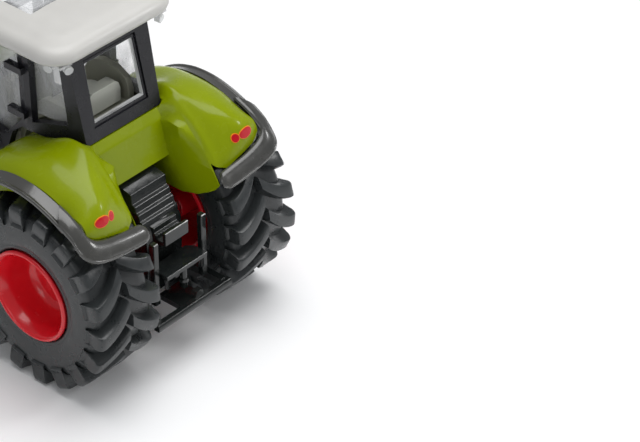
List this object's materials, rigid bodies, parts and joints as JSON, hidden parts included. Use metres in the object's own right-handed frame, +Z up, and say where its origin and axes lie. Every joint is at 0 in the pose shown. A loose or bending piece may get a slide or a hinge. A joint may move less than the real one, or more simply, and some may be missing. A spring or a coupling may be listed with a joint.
{
  "type": "toy tractor",
  "caption": "Small toy farm tractor with an open-windowed cab, broad rear fenders, deep-dish lugged wheels on turning axles and a rear hitch.",
  "frame": {"origin": "centre of the tractor's outline on the ground it stands on", "axes": "+Z up; +X to the tractor's left; the bonnet points towards -Y and the hitch towards +Y, along the longest side"},
  "size_m": [0.0532, 0.1005, 0.0671],
  "materials": {
    "green_paint": "gloss",
    "black_plastic": "satin",
    "grey_trim": "gloss",
    "cream_plastic": "satin",
    "grey_plastic": "satin",
    "clear_plastic": "clear",
    "red_plastic": "gloss",
    "lamp_red": "gloss",
    "tyre_rubber": "satin",
    "axle_steel": "satin"
  },
  "bodies": {
    "tractor_body": {"rear_body": "green_paint", "bonnet": "green_paint", "cab_frame": "black_plastic", "cab_glazing": "clear_plastic", "roof": "cream_plastic", "skylight": "clear_plastic", "interior": "grey_plastic", "seat": "grey_plastic", "steering_wheel": "grey_plastic", "grille": "black_plastic", "exhaust": "black_plastic", "chassis": "black_plastic", "hitch_plate": "black_plastic", "hitch_bar": "black_plastic", "front_rivet": "axle_steel", "rear_rivet": "axle_steel", "fender_trim_left": "grey_trim", "fender_trim_right": "grey_trim", "tail_lamp_left": "lamp_red", "tail_lamp_right": "lamp_red", "headlamp_left": "clear_plastic", "headlamp_right": "clear_plastic", "roof_lamps_left": "clear_plastic", "roof_lamps_right": "clear_plastic", "lift_rod_left": "black_plastic", "lift_rod_right": "black_plastic"},
    "rear_wheelset": {"rear_rim_left": "red_plastic", "rear_rim_right": "red_plastic", "rear_tyre_left": "tyre_rubber", "rear_tyre_right": "tyre_rubber", "rear_axle": "axle_steel"},
    "front_wheelset": {"front_rim_left": "red_plastic", "front_rim_right": "red_plastic", "front_tyre_left": "tyre_rubber", "front_tyre_right": "tyre_rubber", "front_axle": "axle_steel"}
  },
  "joints": [
    {"name": "rear_wheels_turn", "type": "hinge", "parent": "tractor_body", "child": "rear_wheelset", "pos_m": [0, 0.03075, 0.0195], "axis": [1, 0, 0], "continuous": true},
    {"name": "front_wheels_turn", "type": "hinge", "parent": "tractor_body", "child": "front_wheelset", "pos_m": [0, -0.02625, 0.0145], "axis": [1, 0, 0], "continuous": true}
  ]
}
